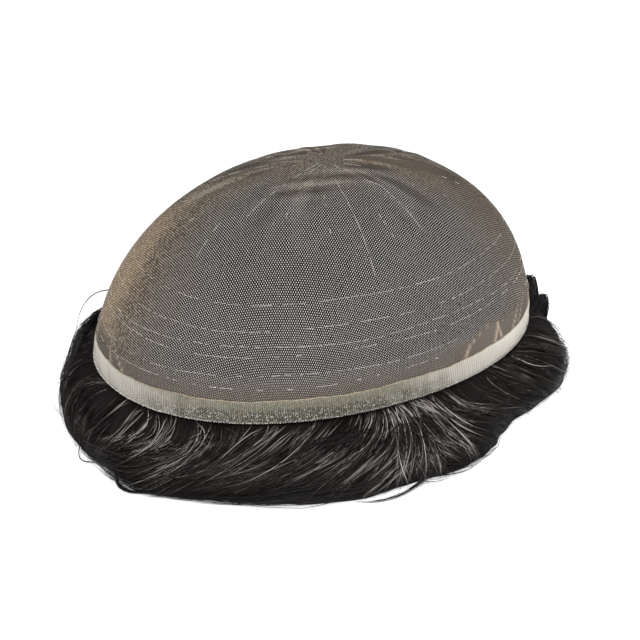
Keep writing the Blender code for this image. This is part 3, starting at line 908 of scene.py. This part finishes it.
def buildHairMass(material):
    # the ring of hair under the band: flat beneath it, then out with the sine of its turn and down with a
    # power of the cosine, with the relief of its locks as slanted waves
    angles = evenAngles(hairMass["columns"])[None, :]
    share = np.linspace(0.02, 1, hairMass["rows"])[:, None]
    turn = share * quarter
    slant = angles + np.radians(0.8 * aroundTable(flowRows, angles, 2) * share)
    relief = hairMass["relief"] * combed(slant, 46, 83, 0.7, 1.2) * np.sin(2 * turn)
    reach = hair["reach"] * aroundTable(skirtReach, angles, 1) * hairMass["fullness"]
    radius = rimRadius(angles) + hairMass["lip"] + (reach + relief) * np.sin(turn)
    steep = hairMass["steepness"] - 0.6 * hump(angles, 152, 28)
    height = (hair["top"] - 0.0009) * np.cos(turn) ** steep + hair["floor"]
    under = (
        (hairMass["lip"] - 0.0004, hair["top"] - 0.0002),
        (-hairMass["depth"], hair["top"] - 0.0002),
        (-hairMass["depth"], hair["top"] / 2),
        (-hairMass["wall"], hair["floor"]),
    )
    inner = [pastRim(angles, past, level) for past, level in under]
    inner.append(inPlan(radius[-1:] - hairMass["footWall"], angles, hair["floor"]))
    points = np.concatenate([inPlan(radius, angles, height)[::-1], *inner])
    u = np.concatenate([slant[::-1], np.repeat(angles, 5, axis=0)]) * 0.08
    v = np.concatenate([share[::-1] * 0.04, np.linspace(0.05, 0.09, 5)[:, None]])
    faces = [gridFaces(len(points), hairMass["columns"], closedRows=True)]
    uv = np.stack(np.broadcast_arrays(u, v), axis=-1)
    piece = newPiece("hair_mass", points, faces, material, uv=uv)
    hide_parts("perimeter_hair")


lining = {
    "columns": 240,
    "rows": 44,
    "tuck": 0.0003,
    "gap": 0.0002,
    "inside": 0.0090,
    "relief": 0.0006,
}


def buildLining(material):
    # the hair that lines the dome, with the relief of combed locks on its open side
    angles = evenAngles(lining["columns"])[None, :]
    shares = np.linspace(0, 1, lining["rows"] + 1)[:-1, None]
    foot = turnAt(lining["tuck"])
    turns = foot + (quarter - foot) * shares
    lift, _ = laceRelief(turns, angles, pleated=False)
    slant = angles + np.radians(40 * shares**2)
    locks = -lining["relief"] * combed(slant, 23, 57, 0.6, 2.0) * np.cos(turns)
    flat = np.stack(np.broadcast_arrays(slant * 0.08, shares * 0.12), axis=-1).reshape(-1, 2)
    uv = np.concatenate([flat, np.zeros((1, 2))] * 2)
    points = shellPoints(turns, angles, ((lift, lining["gap"]), (locks, lining["inside"])))
    faces = shellFaces(lining["rows"], lining["columns"])
    piece = newPiece("hair_lining", points, faces, material, uv=uv)
    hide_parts("top_hair")


strands = {
    "perClump": 23,
    "steps": 10,
    "sides": 3,
    "radius": 0.00015,
    "rootTuck": 0.002,
    "steepness": 0.72,
    "clumpWidth": 0.0036,
    "clumpThickness": 0.0024,
    "narrowing": 0.68,
    "bend": 0.0010,
    "curl": 0.00030,
    "stray": 0.0021,
    "shortest": 0.84,
    "lowest": 0.0003,
    "seed": 21,
}


def clumpPaths(rng, root, depth):
    # a clump's middle line, from under the band out and down: its distance past the rim grows with the
    # sine of its share and its height falls with a power of the cosine, while its plan angle follows a
    # parabola through its turn half way down and its turn at the tip
    count = len(root)
    share = np.linspace(0, 1, strands["steps"])[None, :]
    half = aroundTable(flowRows, root, 1, ease=False) + rng.normal(0, 1.6, count)
    tip = aroundTable(flowRows, root, 2, ease=False) * rng.uniform(0.8, 1.25, count)
    tip = (tip + rng.normal(0, 2.4, count)) * (1 + 0.5 * depth)
    turn = half[:, None] * 4 * share * (1 - share) + tip[:, None] * share * (2 * share - 1)
    angles = root[:, None] + np.radians(turn)
    reach = aroundTable(tipRows, angles[:, -1], 1) * rng.uniform(0.88, 1.02, count) * (1 - 0.14 * depth)
    lift = aroundTable(tipRows, angles[:, -1], 2) + 0.10 * rng.random(count) ** 2 * (1 - depth)
    start = -strands["rootTuck"] - 0.004 * depth[:, None]
    past = start + (hair["reach"] * reach[:, None] - start) * np.sin(share * quarter)
    high = hair["top"] - 0.0006 - 0.005 * depth[:, None]
    low = np.clip(lift, 0, 1)[:, None] * dome["rimHeight"] + 0.0009
    steep = strands["steepness"] + 0.45 * hump(root, -14, 15)[:, None]
    height = low + (high - low) * np.cos(share * quarter) ** steep
    lean = np.broadcast_to(share * quarter, angles.shape)
    out = np.stack([np.cos(angles) * np.sin(lean), np.sin(angles) * np.sin(lean), np.cos(lean)], axis=-1)
    return share, pastRim(angles, past, height), out


def keepClear(paths):
    # strands stay above the surface and below a ceiling: the rim's height near the band, and more further
    # out, most at the two ends, where the hair rises beside the band
    flat = paths[..., :2] - dome["middle"]
    angles = np.arctan2(flat[..., 1], flat[..., 0])
    past = np.hypot(flat[..., 0], flat[..., 1]) - rimRadius(angles)
    ends = np.maximum(np.clip(1.5 * hump(angles, 165, 34), 0, 1), hump(angles, -16, 16))
    ceiling = hair["top"] + np.clip(past - 0.003, 0, 1) * (0.05 + 1.2 * ends)
    paths[..., 2] = np.clip(paths[..., 2], strands["lowest"], ceiling)
    return paths


def cutToLength(paths, length):
    # every strand stops at its own share of its path
    steps = paths.shape[-2]
    place = np.linspace(0, 1, steps) * length[..., None] * (steps - 1)
    low = np.clip(np.floor(place).astype(int), 0, steps - 2)
    part = (place - low)[..., None]
    low = np.repeat(low[..., None], 3, axis=-1)
    first, second = (np.take_along_axis(paths, low + step, axis=-2) for step in (0, 1))
    return first * (1 - part) + second * part


def strandSet(rng, root):
    # strands of many clumps at once: each keeps its place in its clump's oval, which narrows to the tip
    count, perClump, steps = len(root), strands["perClump"], strands["steps"]
    depth = rng.random(count) ** 1.2
    share, middle, out = clumpPaths(rng, root, depth)
    along = np.gradient(middle, axis=1)
    along /= np.linalg.norm(along, axis=2, keepdims=True)
    side = np.cross(along, out)
    side /= np.linalg.norm(side, axis=2, keepdims=True)
    face = np.cross(side, along)
    bend = np.sin(7 * share + 6 * root[:, None] + rng.uniform(0, 1.5, (count, 1))) * share
    middle = middle + side * (strands["bend"] * bend)[..., None]
    place = rng.normal(0, 0.5, (count, perClump, 2))
    share = share[:, None]
    narrow = 1.0 - strands["narrowing"] * share**1.4
    across, deep = place[:, :, :1] * strands["clumpWidth"], place[:, :, 1:] * strands["clumpThickness"]
    own = rng.uniform(0, 2 * math.pi, (count, perClump, 1))
    curl = strands["curl"] * np.sin((4 + 5 * rng.random((count, perClump, 1))) * share + own) * share
    stray = rng.normal(0, strands["stray"], (count, perClump, 1)) * share**1.4
    paths = middle[:, None] + side[:, None] * (across * narrow + curl + stray)[..., None]
    paths = paths + face[:, None] * (deep * narrow + curl)[..., None]
    paths = cutToLength(paths, rng.uniform(strands["shortest"], 1.0, (count, perClump)))
    # painted highlight: a strand is painted lighter where it bends over below the band and again lower down,
    # most on the crest of its clump, and a few strands far more than the rest
    crest = bell(place[:, :, 0], 0, 0.7) * (1 - 0.6 * depth[:, None])
    glint = rng.random((count, perClump)) ** 2.4
    spot = root[:, None, None] + rng.normal(0, 0.02, (count, perClump, 1))
    upper = 0.30 + 0.10 * np.sin(9 * spot + 1.0) + rng.normal(0, 0.07, (count, perClump, 1))
    lower = 0.70 + 0.10 * np.sin(14 * spot) + rng.normal(0, 0.06, (count, perClump, 1))
    paintedLitBands = bell(share, upper, 0.17) + 0.8 * bell(share, lower, 0.15)
    toneAndPaintedShine = aroundTable(flowRows, root, 3, ease=False)[:, None] * (0.45 + 0.55 * crest)
    toneAndPaintedShine = (toneAndPaintedShine * (0.20 + 1.90 * glint))[:, :, None] * (0.30 + 0.70 * np.minimum(paintedLitBands, 1))
    radius = strands["radius"] * (0.85 + 0.6 * glint)
    return keepClear(paths.reshape(-1, steps, 3)), toneAndPaintedShine.reshape(-1, steps), radius.reshape(-1, 1)


def strandPiece(name, paths, toneAndPaintedShine, rng, material, radius):
    # tubes that thin with a power of their share, each with its own thickness
    count, steps = paths.shape[:2]
    share = np.linspace(0, 1, steps)[None, :]
    radii = radius * rng.uniform(0.65, 1.3, (count, 1)) * (1 - 0.8 * share**2.5)
    points, faces = tubeSet(paths, radii, strands["sides"])
    layers = {"toneAndPaintedShine": np.repeat(toneAndPaintedShine[:, :, None], strands["sides"], axis=2)}
    newPiece(name, points, faces, material, layers)


# The hair is dressed in sectors round the rim, from one plan angle to another: the near ones are denser
sectors = (
    # name, from, to, clumps
    ("hair_front_end", 160, 204, 56),
    ("hair_near_front", -156, -118, 92),
    ("hair_near_middle", -118, -78, 100),
    ("hair_near_back", -78, -20, 92),
    ("hair_back_end", -20, 40, 44),
    ("hair_far", 40, 160, 92),
)


def buildStrands(material):
    rng = np.random.default_rng(strands["seed"])
    for name, start, end, clumps in sectors:
        root = np.radians(start + (end - start) * (np.arange(clumps) + rng.random(clumps)) / clumps)
        paths, toneAndPaintedShine, radius = strandSet(rng, root)
        strandPiece(name, paths, toneAndPaintedShine, rng, material, radius)


# Low strands that run along the edge and close it: start and end plan angle, distance past the rim as a
# share of the tips' reach, height in millimetres, and how many
edgeRuns = (
    # start, end, reach, height, count
    (-98, -136, 0.93, 4.0, 46), (-104, -150, 0.96, 2.2, 46), (-118, -158, 0.95, 1.8, 46),
    (-132, -166, 0.92, 2.5, 40), (-146, -173, 0.90, 4.0, 30), (-112, -146, 0.84, 7.0, 40),
    (-102, -80, 0.94, 2.5, 40), (-96, -70, 0.90, 4.0, 36), (-84, -60, 0.86, 4.5, 30),
    (-66, -42, 0.88, 4.0, 30), (-52, -26, 0.90, 4.5, 30), (150, 186, 0.88, 6.0, 30),
    (24, 60, 0.90, 3.0, 30), (56, 96, 0.90, 3.0, 30), (92, 130, 0.90, 3.0, 30),
)


edgeStrands = {
    "steps": 12,
    # shine is the strength of a painted highlight along the middle of a few runs
    "toneAndPaintedShine": 0.55,
    "seed": 33,
}


def buildEdgeStrands(material):
    # each run leaves from further in and higher, and settles along the edge
    rng = np.random.default_rng(edgeStrands["seed"])
    share = np.linspace(0, 1, edgeStrands["steps"])[None, :]
    settle = 0.42 + 0.58 * np.sin(np.minimum(share * 1.35, 1) * quarter) ** 1.1
    paths, tonesAndPaintedShines = [], []
    for start, end, reach, height, count in edgeRuns:
        shift = rng.normal(0, 3.0, (count, 1))
        angles = np.radians(start + shift + (end - start) * rng.uniform(0.7, 1.15, (count, 1)) * share)
        inner = rng.normal(0, 0.035, (count, 1)) + 0.02 * np.sin(8 * share + 5 * shift)
        past = hair["reach"] * aroundTable(tipRows, angles, 1) * (reach * settle + inner)
        heights = height / 1000 * rng.uniform(0.3, 1.6, (count, 1)) * (1 + 2.4 * (1 - share) ** 2)
        paths.append(pastRim(angles, past, heights))
        # a painted highlight along the middle of each run, strong on only a few
        tonesAndPaintedShines.append(edgeStrands["toneAndPaintedShine"] * rng.random((count, 1)) ** 3 * bell(share, 0.45, 0.3) + 0.06)
    paths = keepClear(np.concatenate(paths))
    strandPiece("hair_edge_runs", paths, np.concatenate(tonesAndPaintedShines), rng, material, strands["radius"])


wispStyle = {
    "steps": 16,
    "thickness": 0.85,
    "shortest": 0.86,
    "widest": 0.85,
    "seed": 8,
}
# Single wisps and stray hairs: how many hairs, how far they spread in millimetres, their tone and painted
# shine, their thickness as a share, and their way as plan angle, millimetres past the rim and height
wisps = (
    # front curl, the same inside it, and a small one
    (26, 0.45, 0.05, 1.1, (
        (-171, 15, 8), (-167, 17.5, 6), (-164, 19.5, 4.5), (-162, 22.1, 3), (-160.5, 24.6, 1.6),
        (-158, 25.7, 1.0), (-156, 24.8, 1.0), (-154, 22.6, 1.0), (-152, 19.8, 1.2), (-149, 16.6, 2),
    )),
    (12, 0.9, 0.25, 0.8, (
        (-164, 18.0, 5), (-162, 20.5, 4), (-160, 22.6, 3), (-157, 22.9, 2.4), (-154, 21.6, 2.2),
        (-150, 19.5, 2.4),
    )),
    (7, 0.35, 0.10, 0.9, (
        (-177, 12.5, 9), (-176, 15.2, 7), (-175, 17.6, 5), (-174, 19.5, 3), (-173, 20.5, 1.6),
        (-171.5, 20.0, 1.0), (-170, 17.8, 1.0), (-167, 16.8, 1.8),
    )),
    # back curl, and the same inside it
    (12, 0.7, 0.12, 0.9, (
        (-88, 17.0, 7), (-93, 21.0, 4), (-97, 24.6, 3), (-101, 27.2, 2), (-104, 28.2, 1),
        (-107, 29.2, 1), (-111, 28.9, 1), (-115, 27.2, 1.2),
    )),
    (8, 0.6, 0.15, 0.8, (
        (-97, 22.0, 6), (-101, 24.6, 4), (-104, 25.6, 3), (-107, 26.0, 2), (-110, 26.4, 2), (-114, 25.6, 2),
    )),
    # a pale hair, and the hairs that cross the others
    (2, 0.10, 1.5, 1.1, (
        (-48, 0.4, 18.3), (-49, 4.4, 18), (-50, 9.8, 17.2), (-48, 13.8, 15.4), (-43, 17, 12.4),
    )),
    (2, 0.3, 0.8, 0.8, (
        (-173, 19.0, 8), (-167, 18.8, 9), (-162, 19.2, 10), (-154, 18.6, 12.4), (-150, 19.4, 10.4),
        (-145, 19.2, 8), (-142, 17.8, 8), (-137, 14.4, 11),
    )),
    (1, 0.2, 0.8, 0.8, ((-158, 8.4, 17), (-153, 11.6, 15), (-149, 14.2, 11.5), (-146, 16.0, 8))),
    (1, 0.2, 0.9, 0.8, ((-145, 0.6, 18.4), (-141, 5.0, 18), (-139, 8.2, 16))),
    (1, 0.2, 0.7, 0.8, ((-80, 15.4, 14), (-74, 15.4, 14.4), (-68, 14.8, 14), (-62, 14.4, 13.4))),
    (1, 0.2, 0.8, 0.8, ((-62, 10.4, 16), (-58, 12, 15.2), (-53, 13.8, 13.8), (-49, 17, 10))),
    # strays at the front
    (3, 0.5, 0.0, 0.9, ((173, 7.0, 20), (171, 11, 19), (170, 13.8, 16.4), (167, 17.6, 12))),
    (3, 0.5, 0.0, 0.8, ((180, 17, 9.6), (177, 18.2, 10), (174, 18.4, 10), (170, 19.0, 10), (167, 20, 9))),
    # an arc and two masses on the far side
    (3, 0.25, 0.0, 1.2, (
        (128, 12.5, 22), (133, 14.5, 24), (139, 13.6, 25), (144, 12.6, 24), (147, 12.1, 21.4),
        (150, 11.3, 18),
    )),
    (70, 1.7, 0.05, 1.3, (
        (134, 5.0, 17.5), (138, 7.0, 20), (142, 8.8, 19.4), (146, 10.0, 18), (151, 10.6, 16),
        (156, 10.8, 13.4), (163, 11.4, 9.6),
    )),
    (70, 2.0, 0.05, 1.5, (
        (134, 2.0, 16), (138, 4.0, 17), (142, 5.6, 16), (147, 6.8, 14), (152, 7.6, 11.4), (158, 8.4, 8),
    )),
    # the high and the low lobe at the back
    (150, 2.1, 0.06, 1.9, (
        (-17, 1, 16), (-12, 4.5, 20.5), (-9, 7, 22.2), (-8, 8.6, 21.4), (-10, 9.2, 18), (-14, 8, 13),
    )),
    (170, 2.4, 0.06, 1.9, (
        (-22, 1, 15), (-18, 4.5, 18), (-16, 7.5, 18.6), (-15, 9.4, 17.4), (-16, 10, 14.5), (-18, 9.6, 11),
    )),
)


def curveThrough(values, share):
    # a cubic between each two of the evenly spaced values: an S-shaped blend of both, and their slopes, each
    # times a cubic that is nought at both
    knots = np.linspace(0, 1, len(values))
    slopes = np.gradient(values, knots) * knots[1]
    place = np.clip(np.searchsorted(knots, share, side="right") - 1, 0, len(values) - 2)
    part = (share - knots[place]) / knots[1]
    first = 2 * part**3 - 3 * part**2 + 1
    blend = first * values[place] + (1 - first) * values[place + 1]
    leaving, reaching = part**3 - 2 * part**2 + part, part**3 - part**2
    return blend + leaving * slopes[place] + reaching * slopes[place + 1]


def buildWisps(material):
    # the hairs of a wisp run side by side along a smooth curve through its points and close up at its end
    rng = np.random.default_rng(wispStyle["seed"])
    steps, widest = wispStyle["steps"], wispStyle["widest"]
    share = np.linspace(0, 1, steps)
    swell = 0.35 + 0.65 * np.sin(math.pi * np.clip(share * 0.9 + 0.12, 0, 1))
    sets, tonesAndPaintedShines, sizes = [], [], []
    for hairs, spread, toneAndPaintedShine, thickness, way in wisps:
        angle, past, height = np.array(way, float).T
        curve = [curveThrough(values, share) for values in (np.radians(angle), past / 1000, height / 1000)]
        offset = np.clip(rng.normal(0, 0.6, (hairs, 1, 3)), -widest, widest)
        offset = offset + 0.25 * np.sin(5 * share[None, :, None] + rng.uniform(0, 6, (hairs, 1, 3)))
        paths = pastRim(*curve)[None] + offset * (spread / 1000 * swell)[None, :, None]
        paths = cutToLength(paths, rng.uniform(wispStyle["shortest"], 1.0, hairs))
        paths[..., 2] = np.maximum(paths[..., 2], strands["lowest"])
        sets.append(paths)
        # each wisp's tone and painted shine, varied per hair
        tonesAndPaintedShines.append(np.full((hairs, steps), toneAndPaintedShine) * rng.uniform(0.6, 1.2, (hairs, 1)))
        sizes.append(np.full(hairs, thickness))
    radius = strands["radius"] * np.concatenate(sizes)[:, None] * wispStyle["thickness"]
    strandPiece("hair_wisps", np.concatenate(sets), np.concatenate(tonesAndPaintedShines), rng, material, radius)


# Studio

camera = {
    "azimuth": -32.0,
    "elevation": 26.5,
    "distance": 0.63,
    "lens": 88.99,
    "aimRight": 0.0016,
    "aimUp": 0.0034,
}


def buildCamera():
    azimuth, elevation = math.radians(camera["azimuth"]), math.radians(camera["elevation"])
    flat = math.cos(elevation)
    back = Vector((math.sin(azimuth) * flat, -math.cos(azimuth) * flat, math.sin(elevation)))
    right = Vector((math.cos(azimuth), math.sin(azimuth), 0.0))
    target = Vector((*dome["middle"], dome["rimHeight"]))
    aim = target + right * camera["aimRight"] + back.cross(right) * camera["aimUp"]
    data = bpy.data.cameras.new("camera")
    data.lens = camera["lens"]
    data.sensor_width = 36.0
    data.clip_start, data.clip_end = 0.01, 20.0
    bpy.context.scene.camera = placed("camera", data, aim + back * camera["distance"], back)


studio = {
    "worldStrength": 0.30,
    "floorHalf": 6,
    "floorColour": (0.97, 0.97, 0.97),
    "floorGlow": 0.35,
    "floorRoughness": 0.9,
    "aimHeight": 0.03,
}
# A soft box: where it stands, its width and its power in watts
softBoxes = (
    # name, place, size, power
    ("key light", (-0.55, -0.80, 0.90), 0.40, 15.0),
    ("fill light", (0.85, -0.60, 0.55), 0.50, 5.0),
    ("top light", (0.10, 0.15, 1.20), 0.60, 4.0),
)


def buildStudio():
    for name, place, size, power in softBoxes:
        data = bpy.data.lights.new(name, "AREA")
        data.shape = "DISK"
        data.size = size
        data.energy = power
        placed(name, data, place, Vector(place) - Vector((0, 0, studio["aimHeight"])))
    world = bpy.data.worlds.new("studio")
    world.use_nodes = True
    background = world.node_tree.nodes["Background"].inputs
    background["Color"].default_value = (1.0, 1.0, 1.0, 1.0)
    background["Strength"].default_value = studio["worldStrength"]
    bpy.context.scene.world = world
    bpy.context.scene.view_settings.view_transform = "Standard"
    mesh = bpy.data.meshes.new("floor")
    half = studio["floorHalf"]
    corners = [(-half, -half, 0), (half, -half, 0), (half, half, 0), (-half, half, 0)]
    mesh.from_pydata(corners, [], [(0, 1, 2, 3)])
    material, tree, shader = newMaterial("pale floor")
    shader.inputs["Emission Color"].default_value = (1.0, 1.0, 1.0, 1.0)
    shader.inputs["Emission Strength"].default_value = studio["floorGlow"]
    finishShader(tree, shader, (*studio["floorColour"], 1.0), studio["floorRoughness"])
    mesh.materials.append(material)
    placed("floor", mesh)


print("making the lace")
lacePiece = buildLace(laceMaterial())
threadPiece = buildThreads(threadMaterial("white thread", (0.66, 0.64, 0.61), (0.40, 0.38, 0.35)))
print("making the band")
buildBand(tapeMaterial())
buildBandHem(threadMaterial("tan hem", (0.40, 0.33, 0.235), (0.24, 0.19, 0.13)))
buildBandStitches(threadMaterial("pale stitching", (0.86, 0.85, 0.80), (0.66, 0.64, 0.57)))
print("dressing the hair")
massFinish, strandFinish = massMaterial(), strandMaterial()
buildHairMass(massFinish)
buildLining(massFinish)
buildStrands(strandFinish)
buildEdgeStrands(strandFinish)
buildWisps(strandFinish)
print("setting up the studio")
buildCamera()
buildStudio()
